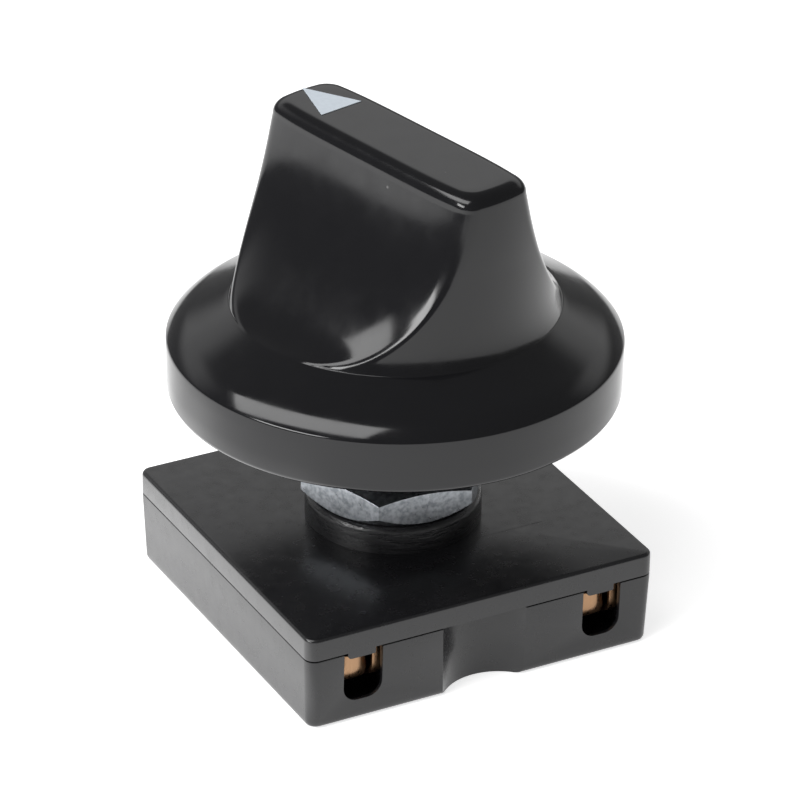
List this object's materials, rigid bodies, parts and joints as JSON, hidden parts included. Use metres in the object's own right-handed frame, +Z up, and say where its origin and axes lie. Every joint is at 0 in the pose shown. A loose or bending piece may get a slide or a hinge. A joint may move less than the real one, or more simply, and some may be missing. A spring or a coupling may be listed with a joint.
{
  "type": "rotary selector switch",
  "caption": "Panel-mount rotary selector switch: square black body with push-in wire entries, threaded neck with hex nut, and a skirted pointer knob.",
  "frame": {"origin": "centre of the body's underside, on the shaft axis", "axes": "+Z up along the shaft towards the knob; -Y is a face with two wire entries and the scallop; +X is a plain side"},
  "size_m": [0.0376, 0.0376, 0.043],
  "materials": {
    "black_body_plastic": "satin black moulded plastic",
    "black_knob_plastic": "gloss black moulded plastic",
    "zinc_plated_steel": "bright zinc plating",
    "bright_steel": "bright steel",
    "terminal_copper_alloy": "rolled copper alloy strip",
    "silver_contact": "silver contact metal",
    "natural_nylon": "natural nylon",
    "silver_white_print": "silver white pointer mark"
  },
  "bodies": {
    "housing": {"base_housing": "black_body_plastic", "top_cover": "black_body_plastic", "hex_nut": "zinc_plated_steel", "thrust_washer": "bright_steel", "common_ring": "silver_contact", "terminal_clip_1": "terminal_copper_alloy", "terminal_clip_2": "terminal_copper_alloy", "terminal_clip_3": "terminal_copper_alloy", "terminal_clip_4": "terminal_copper_alloy", "wire_spring_1": "terminal_copper_alloy", "wire_spring_2": "terminal_copper_alloy", "wire_spring_3": "terminal_copper_alloy", "wire_spring_4": "terminal_copper_alloy", "fixed_contact_1": "silver_contact", "fixed_contact_2": "silver_contact", "fixed_contact_3": "silver_contact", "fixed_contact_4": "silver_contact"},
    "turning": {"knob": "black_knob_plastic", "pointer_mark": "silver_white_print", "knob_spring_clip": "bright_steel", "switch_shaft": "bright_steel", "shaft_retaining_ring": "bright_steel", "rotor": "natural_nylon", "contact_bridge": "terminal_copper_alloy", "detent_spring_1": "bright_steel", "detent_spring_2": "bright_steel"},
    "ball_one": {"detent_ball_1": "bright_steel"},
    "ball_two": {"detent_ball_2": "bright_steel"}
  },
  "joints": [
    {"name": "knob_turn", "type": "hinge", "parent": "housing", "child": "turning", "pos_m": [0, 0, 0.02], "axis": [0, 0, 1], "range_deg": [-135, 0]},
    {"name": "ball_one_slide", "type": "slide", "parent": "turning", "child": "ball_one", "axis": [-0.9763, -0.2164, 0], "range_m": [0, 0.0004], "stiffness_N_per_m": 300, "springref_m": -0.001, "deforming": ["detent_spring_1"]},
    {"name": "ball_two_slide", "type": "slide", "parent": "turning", "child": "ball_two", "axis": [0.9763, 0.2164, 0], "range_m": [0, 0.0004], "stiffness_N_per_m": 300, "springref_m": -0.001, "deforming": ["detent_spring_2"]}
  ]
}
